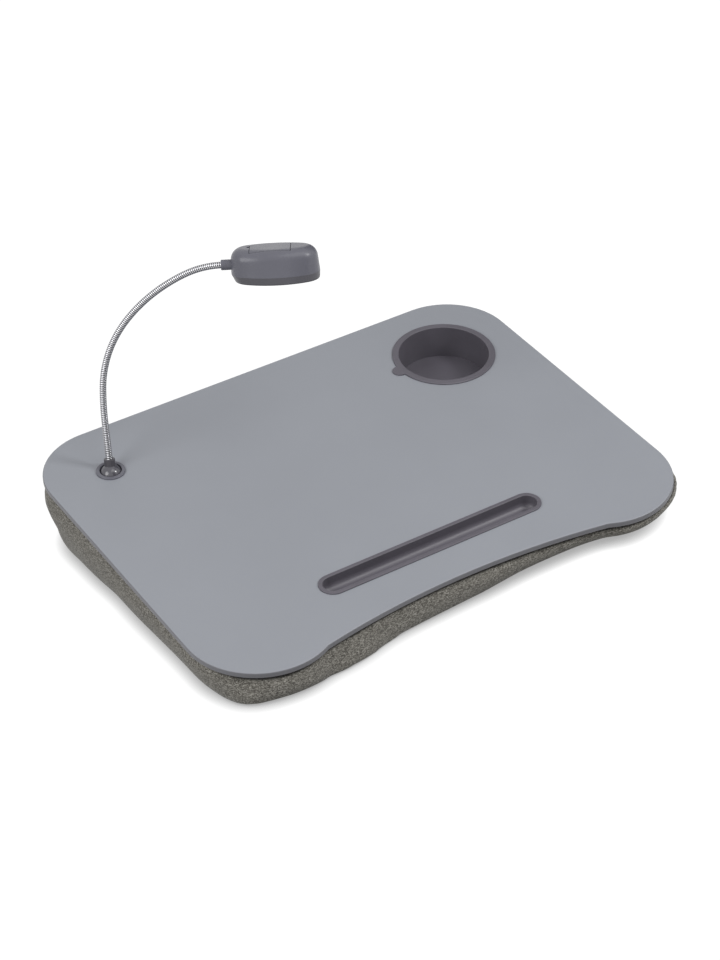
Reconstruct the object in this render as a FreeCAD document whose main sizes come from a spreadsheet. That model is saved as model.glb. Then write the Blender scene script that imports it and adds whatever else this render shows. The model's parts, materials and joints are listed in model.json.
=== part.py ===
import FreeCAD, Part
import math
import os
import Sketcher
from FreeCAD import Placement, Rotation, Vector

# Lap tray: a board with a belly cut on a wedge-shaped bean cushion, a cup insert, a pen trough
# and a battery lamp on a gooseneck that stands in a ball socket.
# Millimetres and degrees. The part stands on Z = 0, X runs to the sitter's right, Y to the rear.

SIZES = {
    # Board, seen from above
    "tray_width": 430,
    "tray_depth": 332,
    "tray_thickness": 5,
    "rear_corner_radius": 55,
    "front_corner_radius": 60,
    "belly_depth": 19,
    "belly_start_angle": 27.8,
    "belly_blend_radius": 15,
    "tray_edge_round": 1.2,
    # How the board stands: rear edge up, and the height of its front edge
    "tray_tilt": 7,
    "front_height": 28,
    # Cushion: how far its side lies inside the board's outline, from top to floor
    "cushion_top_inset": 4,
    "cushion_swell_inset": 0.5,
    "cushion_waist_inset": 3,
    "cushion_floor_inset": 11,
    "swell_share": 0.3,
    "waist_share": 0.68,
    "cover_thickness": 2,
    "lining_thickness": 1,
    "cloth_clearance": 0.25,
    "well_clearance": 1,
    # Cup insert
    "cup_side_inset": 69,
    "cup_rear_inset": 70,
    "cup_bore": 75.4,
    "cup_depth": 28,
    "cup_wall": 2,
    "cup_rim_diameter": 86.4,
    "cup_rim_height": 1.4,
    "cup_foot_round": 3,
    "ear_radius": 6.2,
    "ear_reach": 50,
    "cup_clearance": 0.4,
    # Pen trough
    "pen_length": 200,
    "pen_width": 23.2,
    "pen_front_inset": 62,
    "pen_rim_width": 3.4,
    "pen_rim_height": 1.2,
    "pen_depth": 10,
    "pen_wall": 1.6,
    "pen_floor_round": 5,
    "pen_clearance": 0.3,
    "rim_round": 0.5,
    # Ball socket of the lamp
    "lamp_side_inset": 53,
    "lamp_rear_inset": 56.3,
    "ball_radius": 9,
    "ball_drop": 3.5,
    "ball_clearance": 0.3,
    "turning_clearance": 0.08,
    "bezel_radius": 11.7,
    "bezel_rise": 1.4,
    "bezel_round": 0.6,
    "barrel_wall": 1.2,
    "barrel_depth": 16,
    "barrel_clearance": 0.2,
    "seat_top": 6.5,
    "seat_bottom": 11.8,
    "washer_thickness": 0.5,
    "washer_width": 3.2,
    "retainer_thickness": 2.6,
    "retainer_slot": 1.6,
    "thread_clearance": 0.1,
    "nut_radius": 15.5,
    "nut_thickness": 4,
    "nut_notch": 4,
    "nut_notch_count": 6,
    "collar_radius": 4.4,
    "collar_top": 13.5,
    "collar_round": 0.5,
    # Gooseneck: a plane curve of equal spans, its plane turned to the right and leaning back
    "lamp_turn_angle": 32.5,
    "lamp_lean_angle": 18,
    "neck_lean_angle": 3.8,
    "neck_radius": 2.75,
    "rib_depth": 0.32,
    "neck_bore_radius": 1.2,
    "neck_length": 207,
    "neck_end": 5.5,
    "neck_gap": 0.9,
    "neck_clearance": 0.1,
    "rib_count": 20,
    "neck_turn_1_angle": 0,
    "neck_turn_2_angle": 6.5,
    "neck_turn_3_angle": 18.2,
    "neck_turn_4_angle": 17.7,
    "neck_turn_5_angle": 13.4,
    "neck_turn_6_angle": 12.3,
    "neck_turn_7_angle": 23.5,
    # Lamp head: heights from the neck's axis, lengths from where the seam meets the neck's end
    "head_length": 68.5,
    "head_width": 40,
    "head_end_radius": 16,
    "head_top_start": 0.5,
    "head_top_length": 66,
    "head_top_width": 33,
    "head_top_end_radius": 14,
    "head_foot_start": 3,
    "head_foot_length": 65,
    "head_foot_width": 39,
    "head_foot_end_radius": 15.5,
    "head_rise": 13,
    "seam_drop": 7,
    "head_drop": 13.3,
    "head_wall": 2,
    "head_crown_radius": 9,
    "head_foot_round": 1.5,
    "sleeve_radius": 4.1,
    "sleeve_length": 7.5,
    "sleeve_flange_radius": 5.4,
    "sleeve_flange": 1.5,
    # Battery lid
    "lid_start": 15,
    "lid_length": 32,
    "lid_width": 24,
    "lid_gap": 0.4,
    "notch_radius": 2.2,
    # Underside of the head: lens, lamp board, diodes and push switch
    "bezel_floor": 1.5,
    "lens_start": 19,
    "lens_length": 40,
    "lens_width": 23,
    "lens_lip": 2,
    "lens_thickness": 1.5,
    "fit_gap": 0.2,
    "seat_gap": 0.3,
    "board_drop": 5.7,
    "board_thickness": 1.2,
    "led_size": 5,
    "led_height": 1.6,
    "led_pitch": 9,
    "led_count": 4,
    "button_start": 11,
    "button_radius": 3.4,
    "button_flange": 0.9,
    "button_proud": 1,
    "button_travel": 0.8,
    "switch_size": 6,
    "switch_height": 2,
    # Coin cells, stacked under the lid, and their cradle
    "cell_radius": 10,
    "cell_can": 2.6,
    "cell_cap_radius": 8.4,
    "cell_cap": 0.6,
    "cell_rise": 3,
    "cell_stack_gap": 0.1,
    "cell_count": 2,
    "contact_thickness": 0.4,
    "contact_width": 6,
    "contact_height": 5,
    "cradle_floor": 1.3,
    "cradle_wall": 1.5,
    "cradle_height": 4.5,
    # One overrun for every cut that has to pass a face
    "overrun": 3,
}
SPANS = 7

doc = FreeCAD.newDocument("LapTray")
sheet = doc.addObject("Spreadsheet::Sheet", "Sizes")
for row, (alias, number) in enumerate(SIZES.items(), 1):
    sheet.set(f"A{row}", alias)
    sheet.set(f"B{row}", str(number))
    sheet.setAlias(f"B{row}", alias)
doc.recompute()


class Size:
    """A size that is both its number and the expression that gives it from the sheet."""

    def __init__(self, value, text):
        self.value = value
        self.text = text

    def __add__(self, other):
        other = as_size(other)
        return Size(self.value + other.value, f"({self.text} + {other.text})")

    def __sub__(self, other):
        other = as_size(other)
        return Size(self.value - other.value, f"({self.text} - {other.text})")

    def __mul__(self, other):
        other = as_size(other)
        return Size(self.value * other.value, f"({self.text} * {other.text})")

    def __truediv__(self, other):
        other = as_size(other)
        return Size(self.value / other.value, f"({self.text} / {other.text})")

    def __neg__(self):
        return Size(-self.value, f"(0 - {self.text})")

    __radd__ = __add__
    __rmul__ = __mul__

    def __rsub__(self, other):
        return as_size(other) - self


def as_size(number):
    return number if isinstance(number, Size) else Size(number, str(number))


def size(alias):
    return Size(float(sheet.get(alias)), f"Sizes.{alias}")


def sine(angle):
    return Size(math.sin(math.radians(angle.value)), f"sin({angle.text})")


def cosine(angle):
    return Size(math.cos(math.radians(angle.value)), f"cos({angle.text})")


def root(square):
    return Size(math.sqrt(square.value), f"sqrt({square.text})")


def bind(thing, path, amount):
    """Tie one property of a document object to the sheet."""
    thing.setExpression(path, as_size(amount).text)


# Sketches and features

def new_body(label):
    body = doc.addObject("PartDesign::Body", label)
    body.Label = label
    return body


def plane(body, role):
    return next(feature for feature in body.Origin.OriginFeatures if feature.Role == role)


def new_sketch(body, name, role="XY_Plane", lift=None):
    """A sketch on one of the body's origin planes, lifted along the plane's normal."""
    sketch = body.newObject("Sketcher::SketchObject", f"{body.Label}_{name}")
    sketch.AttachmentSupport = [(plane(body, role), "")]
    sketch.MapMode = "FlatFace"
    if lift is not None:
        bind(sketch, "AttachmentOffset.Base.z", lift)
    return sketch


def tie_point(sketch, geometry, position, x, y):
    """Place a point of the sketch by two sizes from the sketch's origin."""
    for kind, amount, axis in (("DistanceX", x, -2), ("DistanceY", y, -1)):
        if not isinstance(amount, Size):
            sketch.addConstraint(Sketcher.Constraint("PointOnObject", geometry, position, axis))
            continue
        index = sketch.addConstraint(
            Sketcher.Constraint(kind, -1, 1, geometry, position, amount.value))
        bind(sketch, f"Constraints[{index}]", amount)


def tie_radius(sketch, geometry, radius):
    index = sketch.addConstraint(Sketcher.Constraint("Radius", geometry, radius.value))
    bind(sketch, f"Constraints[{index}]", radius)


def number(amount):
    return amount.value if isinstance(amount, Size) else amount


def flat(x, y):
    return Vector(number(x), number(y), 0)


def draw_polygon(sketch, points):
    """A closed outline of straight lines, each corner placed by its two sizes."""
    first = sketch.GeometryCount
    count = len(points)
    for index, start in enumerate(points):
        end = points[(index + 1) % count]
        sketch.addGeometry(Part.LineSegment(flat(*start), flat(*end)), False)
    for index, point in enumerate(points):
        following = first + (index + 1) % count
        sketch.addConstraint(Sketcher.Constraint("Coincident", first + index, 2, following, 1))
        tie_point(sketch, first + index, 1, *point)


def draw_circle(sketch, x, y, radius):
    index = sketch.addGeometry(Part.Circle(flat(x, y), Vector(0, 0, 1), radius.value), False)
    tie_point(sketch, index, 3, x, y)
    tie_radius(sketch, index, radius)


def draw_arc(sketch, x, y, radius, start, end):
    """An arc with its centre and radius tied; its ends are left to what it joins."""
    circle = Part.Circle(flat(x, y), Vector(0, 0, 1), radius.value)
    arc = Part.ArcOfCircle(circle, math.radians(start), math.radians(end))
    index = sketch.addGeometry(arc, False)
    tie_point(sketch, index, 3, x, y)
    tie_radius(sketch, index, radius)
    return index


def draw_line(sketch, start, end):
    return sketch.addGeometry(Part.LineSegment(flat(*start), flat(*end)), False)


def join_smooth(sketch, one, one_end, other, other_end):
    sketch.addConstraint(Sketcher.Constraint("Tangent", one, one_end, other, other_end))


def draw_slot(sketch, x, y, length, width):
    """An outline with straight sides along X and round ends."""
    radius = width / 2
    reach = length / 2 - radius
    right = draw_arc(sketch, x + reach, y, radius, -90, 90)
    left = draw_arc(sketch, x - reach, y, radius, 90, 270)
    top = draw_line(sketch, (x + reach, y + radius), (x - reach, y + radius))
    foot = draw_line(sketch, (x - reach, y - radius), (x + reach, y - radius))
    join_smooth(sketch, right, 2, top, 1)
    join_smooth(sketch, top, 2, left, 1)
    join_smooth(sketch, left, 2, foot, 1)
    join_smooth(sketch, foot, 2, right, 1)


def draw_rectangle(sketch, x, y, length, width):
    """A rectangle that starts at x and is centred on y."""
    half = width / 2
    draw_polygon(sketch, [(x, y - half), (x + length, y - half), (x + length, y + half), (x, y + half)])


def draw_oval(sketch, x, length, width, end_radius):
    """An oval along X of two end arcs and two flatter side arcs, all tangent."""
    reach = length / 2 - end_radius
    side_radius = (reach * reach + width * width / 4 - end_radius * end_radius) / (width - 2 * end_radius)
    offset = side_radius - width / 2
    half_turn = math.degrees(math.atan2(offset.value, reach.value))
    right = draw_arc(sketch, x + reach, 0, end_radius, -half_turn, half_turn)
    left = draw_arc(sketch, x - reach, 0, end_radius, 180 - half_turn, 180 + half_turn)
    sides = []
    for way in (1, -1):
        middle = flat(x, offset * -way)
        circle = Part.Circle(middle, Vector(0, 0, 1), side_radius.value)
        start = half_turn if way > 0 else 180 + half_turn
        end = 180 - half_turn if way > 0 else 360 - half_turn
        arc = Part.ArcOfCircle(circle, math.radians(start), math.radians(end))
        sides.append(sketch.addGeometry(arc, False))
        tie_radius(sketch, sides[-1], side_radius)
    upper, lower = sides
    join_smooth(sketch, right, 2, upper, 1)
    join_smooth(sketch, upper, 2, left, 1)
    join_smooth(sketch, left, 2, lower, 1)
    join_smooth(sketch, lower, 2, right, 1)


def check_volume(body, before, name):
    """A cut that misses its solid shows no error, so the volume has to change."""
    doc.recompute()
    if abs(body.Shape.Volume - before) < 1e-6:
        raise RuntimeError(f"{body.Label}: {name} changes nothing")


def pad(body, sketch, length, reverse=False):
    feature = body.newObject("PartDesign::Pad", f"{sketch.Name}_pad")
    feature.Profile = sketch
    feature.Reversed = reverse
    bind(feature, "Length", length)
    doc.recompute()
    return feature


def pocket(body, sketch, length, reverse=False):
    before = body.Shape.Volume
    feature = body.newObject("PartDesign::Pocket", f"{sketch.Name}_pocket")
    feature.Profile = sketch
    feature.Reversed = reverse
    bind(feature, "Length", length)
    check_volume(body, before, feature.Name)
    return feature


def revolve(body, points, role="XZ_Plane", axis="V_Axis", name="profile"):
    """Turn a straight-lined half section about the sketch's upright or level axis."""
    sketch = new_sketch(body, name, role)
    draw_polygon(sketch, points)
    feature = body.newObject("PartDesign::Revolution", f"{sketch.Name}_turned")
    feature.Profile = sketch
    feature.ReferenceAxis = (sketch, [axis])
    feature.Angle = 360
    doc.recompute()
    return feature


def loft(body, sketches, cut=False, ruled=False):
    before = body.Shape.Volume if cut else 0
    kind = "PartDesign::SubtractiveLoft" if cut else "PartDesign::AdditiveLoft"
    feature = body.newObject(kind, f"{sketches[0].Name}_loft")
    feature.Profile = sketches[0]
    feature.Sections = sketches[1:]
    feature.Ruled = ruled
    check_volume(body, before, feature.Name)
    return feature


def ball_cut(body, radius, lift):
    """Hollow a sphere out of the body, its centre on the Z axis."""
    before = body.Shape.Volume
    feature = body.newObject("PartDesign::SubtractiveSphere", f"{body.Label}_hollow")
    feature.AttachmentSupport = [(plane(body, "XY_Plane"), "")]
    feature.MapMode = "FlatFace"
    bind(feature, "AttachmentOffset.Base.z", lift)
    bind(feature, "Radius", radius)
    check_volume(body, before, feature.Name)


def round_edges(body, picks, radius, name):
    """Round the edges of the body's last feature that the test picks, in the body's own frame."""
    doc.recompute()
    tip = body.Tip
    shape = tip.Shape
    names = [f"Edge{i}" for i, edge in enumerate(shape.Edges, 1) if picks(edge)]
    if not names:
        raise RuntimeError(f"{body.Label}: no edge to round for {name}")
    feature = body.newObject("PartDesign::Fillet", f"{body.Label}_{name}")
    feature.Base = (tip, names)
    bind(feature, "Radius", radius)
    doc.recompute()
    return feature


def at_height(height):
    """Picks edges that lie wholly at one height."""
    level = number(height)
    return lambda edge: all(abs(edge.valueAt(p).z - level) < 1e-4 for p in edge.ParameterRange)


def at_ring(height, radius):
    """Picks round edges of one radius about the Z axis at one height."""
    level = at_height(height)
    reach = number(radius)
    return lambda edge: level(edge) and all(
        abs(math.hypot(edge.valueAt(p).x, edge.valueAt(p).y) - reach) < 1e-3 for p in edge.ParameterRange)


# Frames of the tray and the lamp

half_width = size("tray_width") / 2
half_depth = size("tray_depth") / 2
tilt = size("tray_tilt")
thickness = size("tray_thickness")
rise = size("front_height") + half_depth * sine(tilt)
cup_place = (half_width - size("cup_side_inset"), half_depth - size("cup_rear_inset"))
pen_place = (0, size("pen_front_inset") - half_depth)
lamp_place = (size("lamp_side_inset") - half_width, half_depth - size("lamp_rear_inset"))
overrun = size("overrun")

TRAY = Placement(Vector(0, 0, rise.value), Rotation(Vector(1, 0, 0), tilt.value))
LAMP = TRAY * Placement(flat(*lamp_place), Rotation(Vector(0, 0, 1), -number(size("lamp_turn_angle"))))
BALL = LAMP * Placement(Vector(0, 0, -number(size("ball_drop"))),
                        Rotation(Vector(1, 0, 0), -number(size("lamp_lean_angle"))))
STEM = BALL * Placement(Vector(0, 0, 0), Rotation(Vector(0, 1, 0), -number(size("neck_lean_angle"))))


def on_tray(body, x=0, y=0):
    """Stand a body on the tilted board, at a place of the board's top."""
    body.Placement = TRAY * Placement(flat(x, y), Rotation())
    bind(body, "Placement.Rotation.Angle", tilt)
    bind(body, "Placement.Base.x", x)
    bind(body, "Placement.Base.y", y * cosine(tilt) if isinstance(y, Size) else 0)
    bind(body, "Placement.Base.z", rise + y * sine(tilt) if isinstance(y, Size) else rise)
    return body


# Board and cushion

def belly_circle():
    """Centre height and radius of the belly cut, from its depth and where it starts on the front lobes."""
    lobe = size("front_corner_radius")
    start = size("belly_start_angle")
    kink_x = half_width - lobe - lobe * sine(start)
    apex_y = size("belly_depth") - half_depth
    depth = apex_y - (lobe - half_depth - lobe * cosine(start))
    radius = (kink_x * kink_x + depth * depth) / (depth * 2)
    return apex_y - radius, radius


def circle_crossing(lobe_x, lobe_y, lobe_radius, belly_y, belly_radius):
    """The crossing of a front lobe's circle with the belly circle, nearer to the middle."""
    gap_x, gap_y = lobe_x, lobe_y - belly_y
    gap = math.hypot(gap_x, gap_y)
    along = (gap * gap + belly_radius ** 2 - lobe_radius ** 2) / (2 * gap)
    across = math.sqrt(belly_radius ** 2 - along ** 2)
    unit_x, unit_y = gap_x / gap, gap_y / gap
    return along * unit_x - across * unit_y, belly_y + along * unit_y + across * unit_x


def draw_tray_outline(sketch, inset):
    """The board's outline, drawn in by an inset: straight sides, round corners, belly cut."""
    rear = size("rear_corner_radius")
    front = size("front_corner_radius")
    rear_x, rear_y = half_width - rear, half_depth - rear
    front_x, front_y = half_width - front, front - half_depth
    belly_y, belly_radius = belly_circle()
    lobe, belly = front - inset, belly_radius + inset
    kink_x, kink_y = circle_crossing(front_x.value, front_y.value, lobe.value, belly_y.value, belly.value)
    lobe_end = math.degrees(math.atan2(kink_y - front_y.value, kink_x - front_x.value))
    belly_end = math.degrees(math.atan2(kink_y - belly_y.value, kink_x))
    rear_right = draw_arc(sketch, rear_x, rear_y, rear - inset, 0, 90)
    rear_left = draw_arc(sketch, -rear_x, rear_y, rear - inset, 90, 180)
    front_left = draw_arc(sketch, -front_x, front_y, lobe, 180, 180 - lobe_end)
    cut = draw_arc(sketch, 0, belly_y, belly, belly_end, 180 - belly_end)
    front_right = draw_arc(sketch, front_x, front_y, lobe, lobe_end, 0)
    side = half_width - inset
    right = draw_line(sketch, (side, front_y), (side, rear_y))
    back = draw_line(sketch, (rear_x, half_depth - inset), (-rear_x, half_depth - inset))
    left = draw_line(sketch, (-side, rear_y), (-side, front_y))
    join_smooth(sketch, right, 2, rear_right, 1)
    join_smooth(sketch, rear_right, 2, back, 1)
    join_smooth(sketch, back, 2, rear_left, 1)
    join_smooth(sketch, rear_left, 2, left, 1)
    join_smooth(sketch, left, 2, front_left, 1)
    join_smooth(sketch, front_right, 2, right, 1)
    sketch.addConstraint(Sketcher.Constraint("Coincident", front_left, 2, cut, 2))
    sketch.addConstraint(Sketcher.Constraint("Coincident", cut, 1, front_right, 1))


def cut_inserts(body, lift, depth, spare):
    """Holes for the cup insert, the pen trough and the lamp's barrel or nut."""
    cup_hole = size("cup_bore") / 2 + size("cup_wall") + size("cup_clearance") + spare
    pen_spare = (size("pen_clearance") + spare - size("pen_rim_width") + size("pen_wall")) * 2
    sketch = new_sketch(body, "holes", lift=lift)
    draw_circle(sketch, *cup_place, cup_hole)
    draw_slot(sketch, *pen_slot_place(), size("pen_length") + pen_spare, size("pen_width") + pen_spare)
    pocket(body, sketch, depth)


def pen_slot_place():
    return size("overrun") * 0, pen_place[1]


def barrel_radius():
    return size("ball_radius") + size("ball_clearance") + size("barrel_wall")


def make_board():
    body = on_tray(new_body("tray_board"))
    sketch = new_sketch(body, "outline")
    draw_tray_outline(sketch, size("overrun") * 0)
    pad(body, sketch, thickness, reverse=True)
    upright = -thickness.value / 2
    kink = size("front_corner_radius").value

    def at_kink(edge):
        ends = [edge.valueAt(p) for p in edge.ParameterRange]
        stands = abs(ends[0].z - ends[1].z) > -upright
        return stands and abs(ends[0].x) < half_width.value - kink and ends[0].y < 0

    round_edges(body, at_kink, size("belly_blend_radius"), "blend")
    round_edges(body, at_height(0), size("tray_edge_round"), "edge")
    round_edges(body, at_height(-thickness), size("tray_edge_round"), "foot")
    cut_inserts(body, overrun, thickness + overrun * 2, size("overrun") * 0)
    lamp = new_sketch(body, "lamp_hole", lift=overrun)
    draw_circle(lamp, *lamp_place, barrel_radius() + size("barrel_clearance"))
    pocket(body, lamp, thickness + overrun * 2)
    return body


def cushion_sections(body, name, inset, top, floor):
    """Four outlines from the board's underside to the floor, which the cushion's side passes through."""
    gaps = ("cushion_top_inset", "cushion_swell_inset", "cushion_waist_inset", "cushion_floor_inset")
    shares = (as_size(0), size("swell_share"), size("waist_share"), as_size(1))
    sketches = []
    for index, (gap, share) in enumerate(zip(gaps, shares)):
        sketch = new_sketch(body, f"{name}_{index}")
        draw_tray_outline(sketch, size(gap) + inset)
        rest = 1 - share
        sketch.AttachmentOffset = Placement(Vector(0, 0, 0), Rotation(Vector(1, 0, 0), tilt.value))
        bind(sketch, "AttachmentOffset.Rotation.Angle", tilt * rest)
        bind(sketch, "AttachmentOffset.Base.y", top * sine(tilt) * rest)
        bind(sketch, "AttachmentOffset.Base.z", (rise - top * cosine(tilt)) * rest + floor * share)
        sketches.append(sketch)
    return sketches


def make_cover():
    """The fleece bag: open under the board, flat where it rests."""
    body = new_body("cushion_cover")
    under = thickness + size("cloth_clearance")
    loft(body, cushion_sections(body, "outside", as_size(0), under, as_size(0)))
    wall = size("cover_thickness")
    loft(body, cushion_sections(body, "inside", wall, under, wall), cut=True)
    return body


def make_lining():
    """The cloth that closes the bag under the board."""
    body = on_tray(new_body("cushion_lining"))
    under = thickness + size("cloth_clearance")
    sketch = new_sketch(body, "outline", lift=-under)
    inset = size("cushion_top_inset") + size("cover_thickness") + size("cloth_clearance") * 2
    draw_tray_outline(sketch, inset)
    pad(body, sketch, size("lining_thickness"), reverse=True)
    cut_inserts(body, as_size(0), under + size("lining_thickness") + overrun, size("well_clearance"))
    nut = new_sketch(body, "nut_hole")
    draw_circle(nut, *lamp_place, size("nut_radius") + size("well_clearance"))
    pocket(body, nut, under + size("lining_thickness") + overrun)
    return body


def tilt_sketch(sketch):
    """Lay a sketch of an untilted body on the tilted board's top."""
    sketch.AttachmentOffset = Placement(Vector(0, 0, 0), Rotation(Vector(1, 0, 0), tilt.value))
    bind(sketch, "AttachmentOffset.Rotation.Angle", tilt)
    bind(sketch, "AttachmentOffset.Base.z", rise)
    return sketch


def make_filling():
    """The beads, pressed aside by the cup well, the pen trough and the lamp's nut."""
    body = new_body("cushion_filling")
    spare = size("cloth_clearance")
    top = thickness + spare + size("lining_thickness") + spare
    inset = size("cover_thickness") + spare
    loft(body, cushion_sections(body, "beads", inset, top, inset))
    clear = size("well_clearance")
    cup = tilt_sketch(new_sketch(body, "cup_well"))
    cup_radius = size("cup_bore") / 2 + size("cup_wall") + size("cup_clearance") + clear
    draw_circle(cup, *cup_place, cup_radius)
    pocket(body, cup, size("cup_depth") + size("cup_wall") + clear)
    pen = tilt_sketch(new_sketch(body, "pen_well"))
    pen_spare = (clear - size("pen_rim_width") + size("pen_wall")) * 2
    draw_slot(pen, *pen_slot_place(), size("pen_length") + pen_spare, size("pen_width") + pen_spare)
    pocket(body, pen, size("pen_depth") + size("pen_wall") + clear)
    lamp = tilt_sketch(new_sketch(body, "lamp_well"))
    draw_circle(lamp, *lamp_place, size("nut_radius") + clear)
    pocket(body, lamp, size("barrel_depth") + clear)
    return body


def make_cup():
    """Cup well with a rim that rests on the board and an ear to lift it by."""
    body = on_tray(new_body("cup_insert"), *cup_place)
    bore = size("cup_bore") / 2
    outside = bore + size("cup_wall")
    rim = size("cup_rim_diameter") / 2
    top = size("cup_rim_height")
    floor = -size("cup_depth")
    foot = floor - size("cup_wall")
    revolve(body, [(0, foot), (outside, foot), (outside, 0), (rim, 0), (rim, top), (bore, top), (bore, floor),
                   (0, floor)])
    sketch = new_sketch(body, "ear")
    draw_circle(sketch, size("ear_radius") - size("ear_reach"), 0, size("ear_radius"))
    pad(body, sketch, top)
    round_edges(body, at_ring(foot, outside), size("cup_foot_round"), "foot")
    outer_top = at_height(top)
    round_edges(body, outer_top, size("rim_round"), "rim")
    return body


def make_pen_tray():
    """Pen trough with a raised rim and a rounded floor."""
    body = on_tray(new_body("pen_tray"), *pen_slot_place())
    zero = size("overrun") * 0
    inside = size("pen_rim_width") * 2
    barrel = inside - size("pen_wall") * 2
    length, width = size("pen_length"), size("pen_width")
    rim = new_sketch(body, "rim")
    draw_slot(rim, zero, zero, length, width)
    pad(body, rim, size("pen_rim_height"))
    trough = new_sketch(body, "trough")
    draw_slot(trough, zero, zero, length - barrel, width - barrel)
    pad(body, trough, size("pen_depth") + size("pen_wall"), reverse=True)
    hollow = new_sketch(body, "hollow", lift=size("pen_rim_height"))
    draw_slot(hollow, zero, zero, length - inside, width - inside)
    pocket(body, hollow, size("pen_rim_height") + size("pen_depth"))
    round_edges(body, at_height(-size("pen_depth")), size("pen_floor_round"), "floor")
    foot = -(size("pen_depth") + size("pen_wall"))
    round_edges(body, at_height(foot), size("pen_floor_round"), "foot")
    round_edges(body, at_height(size("pen_rim_height")), size("rim_round"), "lip")
    return body


# Ball socket of the lamp

def make_bezel():
    """Socket ring with a lip that keeps the ball, on a barrel through the board."""
    body = new_body("lamp_bezel")
    hollow = size("ball_radius") + size("ball_clearance")
    lip = hollow - size("bezel_round")
    barrel = barrel_radius()
    ring = size("bezel_radius")
    top = size("bezel_rise")
    foot = -size("barrel_depth")
    revolve(body, [(lip, foot), (barrel, foot), (barrel, 0), (ring, 0), (ring, top), (lip, top)])
    ball_cut(body, hollow, -size("ball_drop"))
    bore = new_sketch(body, "bore", lift=-size("ball_drop"))
    draw_circle(bore, 0, 0, hollow)
    pocket(body, bore, size("barrel_depth") + overrun)
    round_edges(body, at_height(top), size("bezel_round"), "ring")
    body.Placement = LAMP
    return body


def make_nut():
    """Round nut with spanner notches, under the board."""
    body = new_body("base_nut")
    hole = barrel_radius() + size("thread_clearance")
    outside = size("nut_radius")
    top = -thickness
    foot = top - size("nut_thickness")
    revolve(body, [(hole, foot), (outside, foot), (outside, top), (hole, top)])
    sketch = new_sketch(body, "notch", lift=foot)
    depth = (outside - hole) / 2
    draw_rectangle(sketch, outside - depth, size("overrun") * 0, depth + overrun, size("nut_notch"))
    notch = pocket(body, sketch, size("nut_thickness") / 2, reverse=True)
    pattern = body.newObject("PartDesign::PolarPattern", "base_nut_notches")
    pattern.Originals = [notch]
    pattern.Axis = (sketch, ["N_Axis"])
    pattern.Angle = 360
    bind(pattern, "Occurrences", size("nut_notch_count"))
    body.Tip = pattern
    doc.recompute()
    body.Placement = LAMP
    return body


def make_ball_seat():
    """Friction cup that the ball sits in and turns with."""
    body = new_body("ball_seat")
    hollow = size("ball_radius") + size("ball_clearance")
    outside = hollow - size("turning_clearance")
    top, foot = -size("seat_top"), -size("seat_bottom")
    revolve(body, [(outside / 3, foot), (outside, foot), (outside, top), (outside / 3, top)])
    ball_cut(body, hollow, -size("ball_drop"))
    body.Placement = LAMP
    return body


def make_spring_washer():
    """Coned washer between the seat and the retainer."""
    body = new_body("spring_washer")
    outside = size("ball_radius")
    inside = outside - size("washer_width")
    top = -size("seat_bottom") - size("turning_clearance")
    foot = size("retainer_thickness") - size("barrel_depth") + size("turning_clearance")
    sheet_metal = size("washer_thickness")
    revolve(body, [(inside, top - sheet_metal), (outside, foot), (outside, foot + sheet_metal), (inside, top)])
    body.Placement = LAMP
    return body


def make_retainer():
    """Screwed plug that closes the barrel, with a driver slot."""
    body = new_body("ball_retainer")
    outside = size("ball_radius") + size("ball_clearance") - size("thread_clearance")
    foot = -size("barrel_depth")
    top = foot + size("retainer_thickness")
    revolve(body, [(0, foot), (outside, foot), (outside, top), (0, top)])
    sketch = new_sketch(body, "slot", lift=foot)
    draw_rectangle(sketch, -outside, size("overrun") * 0, outside * 2, size("retainer_slot"))
    pocket(body, sketch, size("retainer_thickness") / 2, reverse=True)
    body.Placement = LAMP
    return body


def make_ball():
    """Ball with the collar that grips the neck."""
    body = new_body("lamp_ball")
    ball = body.newObject("PartDesign::AdditiveSphere", "lamp_ball_sphere")
    bind(ball, "Radius", size("ball_radius"))
    doc.recompute()
    top = size("collar_top")
    collar = new_sketch(body, "collar")
    draw_circle(collar, 0, 0, size("collar_radius"))
    pad(body, collar, top)
    bore = new_sketch(body, "bore", lift=top)
    draw_circle(bore, 0, 0, size("neck_radius") + size("neck_clearance"))
    pocket(body, bore, size("neck_end") + size("neck_clearance"))
    round_edges(body, at_ring(top, size("collar_radius")), size("collar_round"), "lip")
    body.Placement = STEM
    return body


# Gooseneck

def neck_span_length():
    return size("neck_length").value / SPANS


class NeckPath:
    """The neck's curve in the lamp's own plane: equal spans, each an arc with its own turn."""

    def __init__(self):
        self.span = neck_span_length()
        self.turns = [math.radians(size(f"neck_turn_{k + 1}_angle").value) for k in range(SPANS)]
        heading = math.radians(size("neck_lean_angle").value) + math.pi / 2
        reach = size("collar_top").value
        self.starts = [(reach * math.cos(heading), reach * math.sin(heading), heading)]
        for k in range(SPANS):
            self.starts.append(self.point(k, self.span))

    def point(self, k, length):
        """Place and heading at a length along span k; a length outside it runs on straight."""
        x, z, heading = self.starts[k]
        inside = min(max(length, 0), self.span)
        turn = self.turns[k] * inside / self.span
        chord = inside if abs(turn) < 1e-9 else inside * math.sin(turn / 2) / (turn / 2)
        x += chord * math.cos(heading - turn / 2)
        z += chord * math.sin(heading - turn / 2)
        heading -= turn
        beyond = length - inside
        return x + beyond * math.cos(heading), z + beyond * math.sin(heading), heading

    def circle(self, k, length, radius):
        x, z, heading = self.point(k, length)
        along = Vector(math.cos(heading), 0, math.sin(heading))
        ring = Part.Circle(Vector(x, 0, z), along, radius)
        ring.XAxis = Vector(0, 1, 0)
        return Part.Wire([ring.toShape()])

    def frame(self, k, length):
        """A frame on the curve: X along it, Z up, Y out of the lamp's plane."""
        x, z, heading = self.point(k, length)
        return BALL * Placement(Vector(x, 0, z), Rotation(Vector(0, 1, 0), -math.degrees(heading)))


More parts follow.
